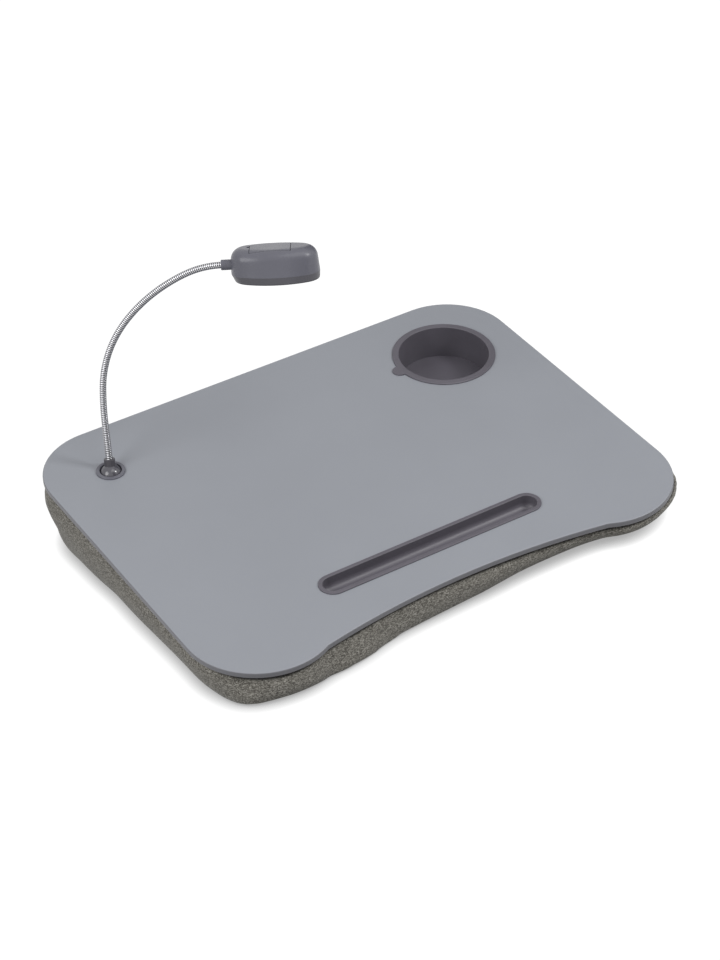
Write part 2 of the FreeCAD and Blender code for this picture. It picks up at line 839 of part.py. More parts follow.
PATH = NeckPath()
HEAD = PATH.frame(SPANS - 1, PATH.span + size("sleeve_length").value)


def make_neck_span(k):
    """One span of ribbed steel hose: a ruled skin through four circles a rib, with its bore."""
    crest = size("neck_radius").value
    root_radius = crest - size("rib_depth").value
    half_gap = size("neck_gap").value / 2
    start = 0 if k == 0 else half_gap
    end = PATH.span if k == SPANS - 1 else PATH.span - half_gap
    ribs = int(size("rib_count").value)
    pitch = (end - start) / ribs
    rings = []
    if k == 0:
        rings.append((-size("neck_end").value, root_radius))
    for rib in range(ribs):
        foot = start + rib * pitch
        rings += [(foot + pitch * share, radius) for share, radius in
                  ((0.1, root_radius), (0.35, crest), (0.65, crest), (0.9, root_radius))]
    rings[1 if k == 0 else 0] = (start, root_radius)
    rings[-1] = (end, root_radius)
    if k == SPANS - 1:
        rings.append((end + size("neck_end").value, root_radius))
    hose = Part.makeLoft([PATH.circle(k, *ring) for ring in rings], True, True)
    bore_radius = size("neck_bore_radius").value
    steps = [rings[0][0], start, end, rings[-1][0]]
    lengths = sorted({round(step, 6) for step in steps} | {start + (end - start) * i / 4 for i in range(1, 4)})
    bore = Part.makeLoft([PATH.circle(k, length, bore_radius) for length in lengths], True, True)
    span = doc.addObject("Part::Feature", f"neck_span_{k + 1}")
    span.Label = f"neck_span_{k + 1}"
    span.Shape = hose.cut(bore)
    span.Placement = BALL
    return span


# Lamp head, in a frame with X from the neck to the nose

def head_outline(sketch, level, inset):
    """One of the head's three ovals, drawn in by an inset: its top, its seam or its foot."""
    prefix = {"seam": "head", "top": "head_top", "foot": "head_foot"}[level]
    start = size("overrun") * 0 if level == "seam" else size(f"{prefix}_start")
    length = size(f"{prefix}_length")
    spare = inset * 2
    draw_oval(sketch, start + length / 2, length - spare, size(f"{prefix}_width") - spare,
              size(f"{prefix}_end_radius") - inset)


def make_head_shell(body):
    """The head's upper shell before its openings: a crowned oval, hollow from below."""
    wall = size("head_wall")
    top = size("head_rise")
    layers = (("skin", as_size(0), top), ("hollow", wall, top - wall))
    for name, inset, roof in layers:
        low = new_sketch(body, f"{name}_seam", lift=-size("seam_drop"))
        head_outline(low, "seam", inset)
        high = new_sketch(body, f"{name}_top", lift=roof)
        head_outline(high, "top", inset)
        loft(body, [low, high], cut=name == "hollow", ruled=True)
    for name, inset, roof in reversed(layers):
        round_edges(body, at_height(roof), size("head_crown_radius") - inset, f"{name}_crown")


def make_upper_shell():
    body = new_body("lamp_upper_shell")
    make_head_shell(body)
    lid = new_sketch(body, "lid_opening", lift=size("head_rise") + overrun)
    draw_rectangle(lid, size("lid_start"), size("overrun") * 0, size("lid_length"), size("lid_width"))
    pocket(body, lid, overrun + size("head_crown_radius"))
    notch = new_sketch(body, "notch", lift=size("head_rise") + overrun)
    draw_circle(notch, size("lid_start"), 0, size("notch_radius"))
    pocket(body, notch, overrun + size("head_crown_radius"))
    hole = new_sketch(body, "sleeve_hole", "YZ_Plane", lift=-overrun)
    draw_circle(hole, 0, 0, size("sleeve_radius") + size("neck_clearance"))
    pocket(body, hole, overrun + size("head_end_radius") / 2, reverse=True)
    body.Placement = HEAD
    return body


def make_lid():
    """Battery lid, cut from the same crowned form as the shell that it closes."""
    body = new_body("battery_cover")
    make_head_shell(body)
    gap = size("lid_gap")
    sketch = new_sketch(body, "outside", lift=size("head_rise") + overrun)
    around = overrun * 2
    draw_rectangle(sketch, -around, size("overrun") * 0, size("head_length") + around * 2,
                   size("head_width") + around * 2)
    draw_rectangle(sketch, size("lid_start") + gap, size("overrun") * 0, size("lid_length") - gap * 2,
                   size("lid_width") - gap * 2)
    pocket(body, sketch, overrun * 2 + size("head_rise") + size("seam_drop"))
    body.Placement = HEAD
    return body


def make_lower_bezel():
    """Lower band of the head, with the lens opening and the button's hole in its floor."""
    body = new_body("lamp_lower_bezel")
    foot = -size("head_drop")
    layers = (("skin", as_size(0), foot), ("hollow", size("head_wall"), foot + size("bezel_floor")))
    for name, inset, floor in layers:
        low = new_sketch(body, f"{name}_foot", lift=floor)
        head_outline(low, "foot", inset)
        high = new_sketch(body, f"{name}_seam", lift=-size("seam_drop"))
        head_outline(high, "seam", inset)
        loft(body, [low, high], cut=name == "hollow", ruled=True)
    round_edges(body, at_height(foot), size("head_foot_round"), "foot")
    lens = new_sketch(body, "lens_opening", lift=foot + size("bezel_floor"))
    draw_slot(lens, size("lens_start") + size("lens_length") / 2, size("overrun") * 0, size("lens_length"),
              size("lens_width"))
    pocket(body, lens, size("bezel_floor") + overrun)
    button = new_sketch(body, "button_hole", lift=foot + size("bezel_floor"))
    draw_circle(button, size("button_start"), 0, size("button_radius") + size("ball_clearance"))
    pocket(body, button, size("bezel_floor") + overrun)
    body.Placement = HEAD
    return body


def make_lens():
    """Clear lens: a plate on the band's floor, with a window that fills the opening."""
    body = new_body("lamp_lens")
    centre = size("lens_start") + size("lens_length") / 2
    floor = size("bezel_floor") - size("head_drop")
    gap = size("fit_gap") * 2
    lip = size("lens_lip") * 2
    plate = new_sketch(body, "plate", lift=floor)
    draw_slot(plate, centre, size("overrun") * 0, size("lens_length") + lip, size("lens_width") + lip)
    pad(body, plate, size("lens_thickness"))
    window = new_sketch(body, "window", lift=floor)
    draw_slot(window, centre, size("overrun") * 0, size("lens_length") - gap, size("lens_width") - gap)
    pad(body, window, size("bezel_floor") - size("fit_gap"), reverse=True)
    body.Placement = HEAD
    return body


def hollow_outline(height, gap):
    """Start, length, width and end radius of the shell's hollow at a height, drawn in by a gap."""
    inset = size("head_wall")
    share = (height + size("seam_drop")) / (size("head_rise") - inset + size("seam_drop"))
    inset = inset + gap
    start = size("head_top_start") * share + inset
    sizes = [size(f"head_{name}") * (1 - share) + size(f"head_top_{name}") * share
             for name in ("length", "width", "end_radius")]
    length, width, end_radius = sizes
    return start, length - inset * 2, width - inset * 2, end_radius - inset


def make_led_board():
    body = new_body("led_board")
    start, length, width, end_radius = hollow_outline(-size("board_drop"), size("seat_gap"))
    sketch = new_sketch(body, "outline", lift=-size("board_drop") - size("board_thickness"))
    draw_oval(sketch, start + length / 2, length, width, end_radius)
    pad(body, sketch, size("board_thickness"))
    body.Placement = HEAD
    return body


def make_block(label, x, y, z, length, width, height):
    """A plain block of the head, placed by its lowest corner."""
    block = doc.addObject("Part::Box", label)
    block.Label = label
    bind(block, "Length", length)
    bind(block, "Width", width)
    bind(block, "Height", height)
    block.Placement = HEAD * Placement(Vector(number(x), number(y), number(z)), Rotation())
    return block


def make_group(label, members):
    group = doc.addObject("Part::Compound", label)
    group.Label = label
    group.Links = members
    return group


def make_leds():
    """A row of flat diodes under the lamp board."""
    count = int(size("led_count").value)
    square = size("led_size")
    top = -size("board_drop") - size("board_thickness")
    first = size("lens_start") + size("lens_length") / 2 - size("led_pitch") * (count - 1) / 2
    diodes = []
    for index in range(count):
        start = first + size("led_pitch") * index - square / 2
        diodes.append(make_block(f"diode_{index + 1}", start, -square / 2, top - size("led_height"), square,
                                 square, size("led_height")))
    return make_group("leds", diodes)


def make_switch_body():
    square = size("switch_size")
    top = -size("board_drop") - size("board_thickness")
    height = size("switch_height")
    return make_block("switch_body", size("button_start") - square / 2, -square / 2, top - height, square,
                      square, height)


def make_button():
    """Push button with a flange that keeps it in the band."""
    body = new_body("switch_button")
    radius = size("button_radius")
    flange = radius + size("button_flange")
    tip = -size("head_drop") - size("button_proud")
    step = size("bezel_floor") - size("head_drop") + size("fit_gap")
    switch = -size("board_drop") - size("board_thickness") - size("switch_height")
    top = switch - size("button_travel") - size("fit_gap")
    revolve(body, [(0, tip), (radius, tip), (radius, step), (flange, step), (flange, top), (0, top)])
    round_edges(body, at_ring(tip, radius), size("rim_round"), "tip")
    body.Placement = HEAD * Placement(Vector(size("button_start").value, 0, 0), Rotation())
    return body


def shell_inside(reach):
    """How far in the shell's inner wall lies, anywhere within a reach of the neck's axis."""
    start, length, width, end_radius = hollow_outline(reach, size("overrun") * 0)
    sagitta = end_radius - root(end_radius * end_radius - reach * reach)
    crown = size("head_crown_radius") - size("head_wall")
    above = reach + size("head_crown_radius") - size("head_rise")
    return start + sagitta + crown - root(crown * crown - above * above)


def make_sleeve():
    """Sleeve that grips the neck and is kept in the shell by its flange."""
    body = new_body("neck_sleeve")
    outside = size("sleeve_radius")
    bore = size("neck_radius") + size("neck_clearance")
    start = -size("sleeve_length")
    seat = start + size("neck_end") + size("neck_clearance")
    flange = size("sleeve_flange_radius")
    inner = shell_inside(flange) + size("fit_gap")
    end = inner + size("sleeve_flange")
    revolve(body, [(start, bore), (start, outside), (inner, outside), (inner, flange), (end, flange), (end, 0),
                   (seat, 0), (seat, bore)], axis="H_Axis")
    rim = number(start)

    def at_rim(edge):
        ends = [edge.valueAt(p) for p in edge.ParameterRange]
        return all(abs(e.x - rim) < 1e-4 and abs(math.hypot(e.y, e.z) - outside.value) < 1e-3 for e in ends)

    round_edges(body, at_rim, size("collar_round"), "rim")
    body.Placement = HEAD
    return body


def cell_frame(height):
    """A frame on the cells' axis, under the middle of the lid."""
    reach = size("lid_start") + size("lid_length") / 2
    return HEAD * Placement(Vector(reach.value, 0, number(height)), Rotation())


def make_cells():
    """Coin cells, stacked with their caps down."""
    cells = []
    radius, cap = size("cell_radius"), size("cell_cap_radius")
    step = size("cell_cap")
    height = step + size("cell_can")
    for index in range(int(size("cell_count").value)):
        body = new_body(f"cell_{index + 1}")
        revolve(body, [(0, size("overrun") * 0), (cap, size("overrun") * 0), (cap, step), (radius, step),
                       (radius, height), (0, height)])
        body.Placement = cell_frame(size("cell_rise") + (height + size("cell_stack_gap")) * index)
        cells.append(body)
    return make_group("battery_cells", cells)


def cradle_top():
    return size("cell_rise") - size("fit_gap") - size("contact_thickness")


def make_contacts():
    """Contact plates: one under the stack, one that stands against the cells' rims."""
    width, sheet_metal = size("contact_width"), size("contact_thickness")
    axis = size("lid_start") + size("lid_length") / 2
    lower = make_block("contact_lower", axis - width / 2, -width / 2, cradle_top(), width, width, sheet_metal)
    rim = axis - size("cell_radius") - size("fit_gap") - sheet_metal
    side = make_block("contact_side", rim, -width / 2, cradle_top(), sheet_metal, width, size("contact_height"))
    return make_group("battery_contacts", [lower, side])


def make_cradle():
    """Round cradle for the cells, wide enough to sit between the shell's sides."""
    body = new_body("battery_tray")
    top = cradle_top()
    floor = top - size("cradle_floor")
    rim = top + size("cradle_height")
    plate = hollow_outline(top, size("seat_gap"))[2] / 2
    inside = size("cell_radius") + size("seat_gap")
    outside = inside + size("cradle_wall")
    revolve(body, [(0, floor), (plate, floor), (plate, top), (outside, top), (outside, rim), (inside, rim),
                   (inside, top), (0, top)])
    slot = new_sketch(body, "contact_slot", lift=top)
    width = size("contact_width") + size("seat_gap") * 2
    draw_rectangle(slot, -outside - overrun, size("overrun") * 0, size("cradle_wall") + size("seat_gap") + overrun,
                   width)
    pocket(body, slot, size("cradle_height") + overrun, reverse=True)
    body.Placement = cell_frame(0)
    return body


def write_parts(parts):
    """Check every object and every sub-part's shape, then write one file for each sub-part."""
    doc.recompute()
    for item in doc.Objects:
        if "Invalid" in item.State or "Error" in item.State:
            raise RuntimeError(f"{item.Label}: {item.State}")
    for part in parts:
        if part.Shape.isNull() or not part.Shape.isValid() or not part.Shape.Solids:
            raise RuntimeError(f"{part.Label}: no valid solid")
    os.makedirs("parts", exist_ok=True)
    for part in parts:
        solids = part.Shape.Solids
        shape = solids[0] if len(solids) == 1 else Part.makeCompound(solids)
        shape.exportStep(f"parts/{part.Label}.step")
        print(f"{part.Label}: {len(solids)} solid(s), {shape.Volume:.1f} mm3")


write_parts([
    make_board(),
    make_pen_tray(),
    make_cup(),
    make_cover(),
    make_lining(),
    make_filling(),
    make_bezel(),
    make_nut(),
    make_ball_seat(),
    make_spring_washer(),
    make_retainer(),
    make_ball(),
    *[make_neck_span(k) for k in range(SPANS)],
    make_sleeve(),
    make_upper_shell(),
    make_lower_bezel(),
    make_lens(),
    make_led_board(),
    make_leds(),
    make_cradle(),
    make_cells(),
    make_contacts(),
    make_lid(),
    make_switch_body(),
    make_button(),
])
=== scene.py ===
import json
import math

import bmesh
import bpy
import numpy as np
from mathutils import Matrix, Vector, noise


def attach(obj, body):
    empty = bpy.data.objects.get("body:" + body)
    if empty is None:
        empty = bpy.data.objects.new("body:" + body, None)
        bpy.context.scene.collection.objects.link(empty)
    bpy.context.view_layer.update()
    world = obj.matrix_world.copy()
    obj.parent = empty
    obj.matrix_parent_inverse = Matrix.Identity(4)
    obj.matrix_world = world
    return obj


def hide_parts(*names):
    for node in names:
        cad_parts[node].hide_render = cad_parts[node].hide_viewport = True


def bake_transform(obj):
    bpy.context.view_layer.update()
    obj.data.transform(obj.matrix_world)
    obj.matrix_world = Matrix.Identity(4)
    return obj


# Lap tray: lacquered board on a fleece-covered bean cushion, cup insert, pen trough, gooseneck lamp.
# Metres, in the frame of the solids: X to the sitter's right, Y to the rear, Z up from the floor.

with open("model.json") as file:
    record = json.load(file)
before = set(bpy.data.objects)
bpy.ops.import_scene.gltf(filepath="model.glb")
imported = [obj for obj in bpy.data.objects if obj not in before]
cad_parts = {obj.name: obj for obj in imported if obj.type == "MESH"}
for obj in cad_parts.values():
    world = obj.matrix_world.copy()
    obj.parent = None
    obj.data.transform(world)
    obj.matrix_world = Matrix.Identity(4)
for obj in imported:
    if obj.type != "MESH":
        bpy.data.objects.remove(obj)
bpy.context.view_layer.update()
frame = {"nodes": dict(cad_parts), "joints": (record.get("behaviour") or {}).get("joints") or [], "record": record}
NODES = frame["nodes"]
JOINTS = {joint["name"]: joint for joint in frame["joints"]}
MM = 0.001

# The board's own axes, from the way that the cup insert lifts out
BOARD_UP = Vector(JOINTS["cup_lift"]["axis"])
BOARD_RIGHT = Vector((1, 0, 0))
BOARD_BACK = BOARD_UP.cross(BOARD_RIGHT)
LAMP_FOOT = Vector(JOINTS["lamp_swivel"]["pos_m"])
BALL = Vector(JOINTS["lamp_tilt"]["pos_m"])
BOARD_MIDDLE = Vector((0, 0, BOARD_UP.dot(LAMP_FOOT) / BOARD_UP.z))
TILT = math.atan2(-BOARD_UP.y, BOARD_UP.z)


def on_board(x, y, z=0.0):
    """A point given by its place on the board's top and its height over it."""
    return BOARD_MIDDLE + BOARD_RIGHT * x + BOARD_BACK * y + BOARD_UP * z


def along_board(x, y, z):
    """A direction given along the board's axes."""
    return BOARD_RIGHT * x + BOARD_BACK * y + BOARD_UP * z


# Board outline and cushion

HALF_WIDTH = 215 * MM
HALF_DEPTH = 166 * MM
BOARD_THICKNESS = 5 * MM
REAR_CORNER = 55 * MM
FRONT_CORNER = 60 * MM
BELLY_DEPTH = 19 * MM
BELLY_START = math.radians(27.8)
BELLY_KINK = (HALF_WIDTH - FRONT_CORNER - FRONT_CORNER * math.sin(BELLY_START),
              BELLY_DEPTH - FRONT_CORNER + FRONT_CORNER * math.cos(BELLY_START))
BELLY_RADIUS = (BELLY_KINK[0] ** 2 + BELLY_KINK[1] ** 2) / (2 * BELLY_KINK[1])

CLOTH_GAP = 0.25 * MM
CUSHION_VOXEL = 5 * MM
SWELL_PRESSURE = 4.0
SWELL_FRAMES = 20
SWELL_CAP = 3.5 * MM
# Cloth this close to the board or to the floor is held while the bag swells
HELD_DEPTH = 1 * MM
# Share of the way down from the board, and how far the side lies inside the board's edge there
SIDE_SHARES = (0.0, 0.05, 0.16, 0.3, 0.46, 0.62, 0.77, 0.89, 0.96, 1.0)
SIDE_INSETS = tuple(inset * MM for inset in (9.0, 5.0, 2.4, 1.8, 2.2, 3.2, 5.0, 7.4, 9.4, 12.0))
# Where the beads have run to: place, reach, and how far the foot and the shoulder lie further out there
SLUMPS = (
    ((-200 * MM, -152 * MM), 23 * MM, 12 * MM, 0 * MM),
    ((-102 * MM, -155 * MM), 45 * MM, 13.5 * MM, 0 * MM),
    ((-10 * MM, -147 * MM), 60 * MM, 5 * MM, 0 * MM),
    ((95 * MM, -145 * MM), 60 * MM, -11 * MM, 0 * MM),
    ((170 * MM, -160 * MM), 70 * MM, -18 * MM, 0 * MM),
    ((206 * MM, -118 * MM), 42 * MM, -3 * MM, 7.5 * MM),
    ((-205 * MM, 110 * MM), 75 * MM, 0 * MM, 4.5 * MM),
)
# Where the shoulder is fullest, as a share of the way down, and how far it spreads
SHOULDER = 0.25
SHOULDER_SPREAD = 0.28
# Depths under the board between which the painted shade of the gap under the board's edge gives way to the pile
GAP_SHADE_DEPTHS = (2.5 * MM, 3.8 * MM)
LUMP_HEIGHT = 2.2 * MM
LUMP_WIDTH = 48 * MM
CREASE_HEIGHT = 0.5 * MM
CREASE_WIDTH = 9 * MM
CREASE_STRETCH = 6
# Lumps push less upwards than sideways, and fade out near the board
LUMP_LIFT = 0.25
LUMP_FADE = 8 * MM

# Points along each run of the outline and round the wells
SIDE_POINTS = 40
BACK_POINTS = 60
BELLY_POINTS = 60
CORNER_POINTS = 20
LOBE_POINTS = 30
CUP_POINTS = 64
NUT_POINTS = 32
SLOT_POINTS = 16
RINGS_PER_STEP = 3

CUP_WELL_RADIUS = 41.1 * MM
CUP_WELL_DEPTH = 31 * MM
PEN_WELL_LENGTH = 198.4 * MM
PEN_WELL_WIDTH = 21.6 * MM
PEN_WELL_DEPTH = 12.6 * MM
PEN_PLACE = -104 * MM
CUP_PLACE = (146 * MM, 96 * MM)
NUT_WELL_RADIUS = 16.5 * MM
NUT_WELL_DEPTH = 17 * MM

# Gooseneck

HOSE_RADIUS = 2.75 * MM
HOSE_ROOT = 2.3 * MM
HOSE_PITCH = 1.5 * MM
HOSE_SIDES = 24
BEAD_STEPS = 8
HOSE_GRIP = 4.5 * MM
COLLAR_TOP = 13.5 * MM
BALL_RADIUS = 9 * MM
COLLAR_STEP = 0.05 * MM
WELD_REACH = 0.001 * MM
SLEEVE_LENGTH = 7.5 * MM
LID_AXIS_REACH = 47 * MM
LID_AXIS_RISE = 13 * MM

# Camera, in the board's axes, and the photograph's frame

CAMERA_PLACE = (-0.8493, -1.3588, 1.2535)
CAMERA_AHEAD = (0.41707, 0.66613, -0.61832)
CAMERA_RIGHT = (0.84263, -0.53836, -0.01162)
SENSOR = 36.0
FOCAL_PIXELS = 2581.93
LONG_SIDE_PIXELS = 960


# Materials: sums on sockets are written as Python expressions

class Wire:
    """A socket of a node tree. A sum on it adds the Math node that works it out."""

    def __init__(self, tree, socket):
        self.tree = tree
        self.socket = socket

    def math(self, operation, *others):
        return self.tree.node("Math", {"operation": operation}, [self, *others])

    def __add__(self, other):
        return self.math("ADD", other)

    def __sub__(self, other):
        return self.math("SUBTRACT", other)

    def __rsub__(self, other):
        return self.tree.node("Math", {"operation": "SUBTRACT"}, [other, self])

    def __mul__(self, other):
        return self.math("MULTIPLY", other)

    __radd__ = __add__
    __rmul__ = __mul__


class Tree:
    """A node tree, with one method that adds any node."""

    def __init__(self, tree):
        self.tree = tree

    def node(self, kind, settings=None, inputs=(), output=0):
        made = self.tree.nodes.new("ShaderNode" + kind)
        for name, value in (settings or {}).items():
            if name == "stops":
                set_stops(made.color_ramp, value)
            else:
                setattr(made, name, value)
        pairs = inputs.items() if isinstance(inputs, dict) else enumerate(inputs)
        for key, value in pairs:
            self.join(value, made.inputs[key])
        return Wire(self, made.outputs[output])

    def join(self, value, socket):
        if isinstance(value, Wire):
            self.tree.links.new(value.socket, socket)
        else:
            socket.default_value = value


def set_stops(ramp, stops):
    while len(ramp.elements) < len(stops):
        ramp.elements.new(1.0)
    for element, (position, colour) in zip(ramp.elements, stops):
        element.position = position
        element.color = colour


class Finish(Tree):
    """A material around one shader, whose plain values are set on the shader's own sockets."""

    def __init__(self, name, **plain):
        self.material = bpy.data.materials.new(name)
        self.material.use_nodes = True
        super().__init__(self.material.node_tree)
        self.shader = self.tree.nodes["Principled BSDF"]
        for socket, value in plain.items():
            self.shader.inputs[socket.replace("_", " ").title().replace("Ior", "IOR")].default_value = value

    def place(self, scale=(1, 1, 1)):
        """The surface point in the part's own frame, stretched by a scale."""
        point = self.node("TexCoord", output="Object")
        return self.node("Mapping", None, {"Vector": point, "Scale": scale})

    def speckle(self, place, size, detail=2.0, roughness=0.5):
        """Soft noise of a given grain size, about one half on the average."""
        return self.node("TexNoise", None, {"Vector": place, "Scale": 1 / size, "Detail": detail,
                                            "Roughness": roughness})

    def cells(self, place, size, output="Distance", feature="F1"):
        return self.node("TexVoronoi", {"feature": feature}, {"Vector": place, "Scale": 1 / size}, output)

    def mix(self, share, one, other):
        """From one colour to the other by a share."""
        return self.node("Mix", {"data_type": "RGBA"}, {0: share, 6: one, 7: other}, output=2)

    def ramp(self, value, *stops):
        return self.node("ValToRGB", {"stops": stops}, [value])

    def between(self, value, low, high, start=0.0, end=1.0):
        """Stretch a range of values to another, held at its ends."""
        return self.node("MapRange", {"clamp": True}, [value, low, high, start, end])

    def facing(self, direction):
        """How far the surface turns to a direction of the part's frame: 1 faces it, -1 faces away."""
        return self.along(self.node("NewGeometry", output="Normal"), direction)

    def along(self, vector, direction):
        """How far a vector reaches along a direction."""
        return self.node("VectorMath", {"operation": "DOT_PRODUCT"}, [vector, tuple(direction)], "Value")

    def feed(self, colour=None, roughness=None, height=None, depth=0.1 * MM, strength=1.0):
        """Join what varies over the surface to the shader."""
        if colour is not None:
            self.join(colour, self.shader.inputs["Base Color"])
        if roughness is not None:
            self.join(roughness, self.shader.inputs["Roughness"])
        if height is not None:
            values = {"Height": height, "Distance": depth, "Strength": strength}
            self.join(self.node("Bump", None, values, "Normal"), self.shader.inputs["Normal"])
        return self.material


def srgb(red, green, blue):
    """A colour as it is seen on screen, 0 to 255, as the shader's linear values."""
    def linear(value):
        value /= 255
        return value / 12.92 if value <= 0.04045 else ((value + 0.055) / 1.055) ** 2.4
    return (linear(red), linear(green), linear(blue), 1.0)


def grey(level):
    return (level, level, level, 1.0)


def lacquer():
    """Satin sprayed lacquer on the board: faint orange peel, cloudy tone, and painted shade that darkens the
    routed edge wherever the surface turns sideways to the board's top.
    """
    finish = Finish("board_lacquer", specular_ior_level=0.42, coat_weight=0.06, coat_roughness=0.3)
    place = finish.place()
    cloud = finish.speckle(place, 90 * MM, detail=3.0)
    peel = finish.speckle(place, 1.3 * MM, detail=1.0)
    dust = finish.speckle(place, 0.5 * MM, detail=2.0, roughness=0.7)
    face = finish.mix(finish.between(cloud, 0.3, 0.7), srgb(151, 154, 161), srgb(154, 157, 164))
    flecked = finish.mix(finish.between(dust, 0.62, 0.8, 0.0, 0.12), face, srgb(172, 174, 180))
    # Painted shade: the edge colour is a darker grey, laid wherever the surface turns sideways to the board, for
    # the shade on the board's edge.
    edge = finish.mix(finish.between(peel, 0.3, 0.7), srgb(113, 113, 118), srgb(119, 119, 124))
    side = finish.between(finish.facing(BOARD_UP).math("ABSOLUTE"), 0.55, 0.92)
    colour = finish.mix(side, edge, flecked)
    rough = finish.between(cloud, 0.3, 0.7, 0.44, 0.5) + finish.between(peel, 0.3, 0.7, 0.0, 0.05)
    return finish.feed(colour, rough, peel * 0.7 + dust * 0.3, 0.02 * MM, 0.5)


def moulded(name, tone, spread, rough, spark=0.5 * MM, depth=0.03 * MM, gloss=0.45):
    """Moulded plastic with a spark-eroded grain, slightly cloudy, a little paler where it is rubbed."""
    finish = Finish(name, specular_ior_level=gloss)
    place = finish.place()
    cloud = finish.speckle(place, 24 * MM, detail=3.0)
    grain = finish.cells(place, spark)
    fine = finish.speckle(place, spark * 0.6, detail=2.0)
    dark = tuple(c * (1 - spread) for c in tone[:3]) + (1.0,)
    pale = tuple(c * (1 + spread) for c in tone[:3]) + (1.0,)
    colour = finish.mix(finish.between(cloud, 0.3, 0.7), dark, pale)
    flecked = finish.mix(finish.between(fine, 0.55, 0.8, 0.0, 0.3), colour, pale)
    return finish.feed(flecked, finish.between(cloud, 0.3, 0.7, rough - 0.04, rough + 0.05),
                       grain * 0.6 + fine * 0.4, depth, 0.6)


def fleece():
    """Heathered fleece: pale and dark fibres in a short curled pile, with a dark band of painted shade just under
    the board for the shadow in the gap there.
    """
    finish = Finish("fleece", roughness=0.95, specular_ior_level=0.1, sheen_weight=0.25, sheen_roughness=0.6)
    place = finish.place()
    knit = finish.place((1, 1, 1.8))
    curl = finish.speckle(knit, 1.5 * MM, detail=3.0, roughness=0.6)
    loops = finish.cells(knit, 1.0 * MM)
    tuft = finish.cells(knit, 1.0 * MM, output="Color")
    fibre = finish.speckle(knit, 0.65 * MM, detail=2.0, roughness=0.7)
    worn = finish.speckle(place, 38 * MM, detail=3.0)
    shade = fibre * 0.45 + finish.node("SeparateColor", None, [tuft]) * 0.4 + curl * 0.15
    tone = finish.ramp(shade, (0.26, srgb(60, 57, 52)), (0.42, srgb(103, 100, 93)),
                       (0.58, srgb(140, 137, 129)), (0.76, srgb(188, 185, 177)))
    dulled = finish.mix(finish.between(worn, 0.3, 0.7, 0.0, 0.25), tone, srgb(115, 112, 105))
    # Painted shade: a near-black band on the fleece just under the board stands in for the shadow in the gap under
    # the board's edge.
    under = finish.along(place, -BOARD_UP) + BOARD_UP.dot(on_board(0, 0, -BOARD_THICKNESS))
    gap_shaded = finish.mix(finish.between(under, *GAP_SHADE_DEPTHS, 1.0, 0.0), dulled, srgb(38, 37, 38))
    height = (1 - loops) * 0.5 + fibre * 0.4 + curl * 0.4
    return finish.feed(gap_shaded, None, height, 0.6 * MM, 0.75)


def lining():
    """Dark woven cloth inside the wells of the cushion."""
    finish = Finish("lining_cloth", roughness=0.9, specular_ior_level=0.15)
    place = finish.place()
    threads = {"Vector": place, "Scale": 380.0, "Distortion": 0.6}
    warp = finish.node("TexWave", {"bands_direction": "X"}, threads)
    weft = finish.node("TexWave", {"bands_direction": "Z"}, threads)
    weave = warp.math("MAXIMUM", weft)
    colour = finish.mix(weave, srgb(34, 34, 36), srgb(62, 62, 65))
    return finish.feed(colour, None, weave, 0.25 * MM, 0.7)


def plated_hose():
    """Bright plated steel wire, dull down between the turns, where painted shade also darkens it."""
    finish = Finish("neck_steel", metallic=1.0)
    groove = finish.node("Attribute", {"attribute_name": "groove"}, output="Fac")
    haze = finish.speckle(finish.place(), 4 * MM, detail=3.0)
    plate = finish.mix(finish.between(haze, 0.3, 0.7), srgb(190, 190, 194), srgb(204, 204, 207))
    # Painted shade: the wire is coloured near-black down between the turns, where shade falls.
    colour = finish.mix(finish.between(groove, 0.1, 0.42), plate, srgb(16, 15, 18))
    rough = finish.between(groove, 0.2, 1.0, 0.14, 0.6) + finish.between(haze, 0.3, 0.7, 0, 0.06)
    return finish.feed(colour, rough)


def sheet_metal(name, pale, dark, rough):
    """Rolled spring steel: fine lines along the strip."""
    finish = Finish(name, metallic=1.0)
    lines = finish.speckle(finish.place((1, 1, 22)), 6 * MM, detail=4.0)
    colour = finish.mix(finish.between(lines, 0.3, 0.7), dark, pale)
    return finish.feed(colour, finish.between(lines, 0.3, 0.7, rough, rough + 0.12), lines, 0.01 * MM, 0.4)


def clear_lens():
    """Clear moulded lens with a pebbled inner face that spreads the light."""
    finish = Finish("lens_clear", base_color=(0.93, 0.95, 0.96, 1.0), transmission_weight=1.0, ior=1.49)
    pebble = finish.cells(finish.place(), 1.6 * MM, feature="SMOOTH_F1")
    return finish.feed(None, finish.between(pebble, 0.1, 0.7, 0.08, 0.22), pebble, 0.25 * MM, 0.5)


def circuit():
    """White solder mask with faint tracks under it."""
    finish = Finish("circuit", specular_ior_level=0.5)
    tracks = finish.cells(finish.place((1, 1, 0.02)), 7 * MM, feature="DISTANCE_TO_EDGE")
    mask = finish.between(tracks, 0.05, 0.09)
    colour = finish.mix(mask, srgb(196, 206, 190), srgb(228, 230, 225))
    return finish.feed(colour, finish.between(tracks, 0.0, 0.3, 0.28, 0.38), mask, 0.03 * MM, 0.5)


def diode():
    """Yellow phosphor in a clear resin."""
    finish = Finish("diode", coat_weight=0.6, coat_roughness=0.08)
    grain = finish.speckle(finish.place(), 0.35 * MM, detail=3.0)
    colour = finish.mix(finish.between(grain, 0.3, 0.7), srgb(244, 214, 92), srgb(250, 232, 150))
    return finish.feed(colour, finish.between(grain, 0.3, 0.7, 0.35, 0.5), grain, 0.02 * MM, 0.5)


def cell_can():
    """Stamped steel of the coin cells, finely brushed round."""
    finish = Finish("cell_can", metallic=1.0)
    scuff = finish.speckle(finish.place((1, 6, 6)), 5 * MM, detail=4.0)
    colour = finish.mix(finish.between(scuff, 0.4, 0.7), srgb(186, 187, 190), srgb(208, 208, 210))
    return finish.feed(colour, finish.between(scuff, 0.3, 0.7, 0.26, 0.4), scuff, 0.01 * MM, 0.4)


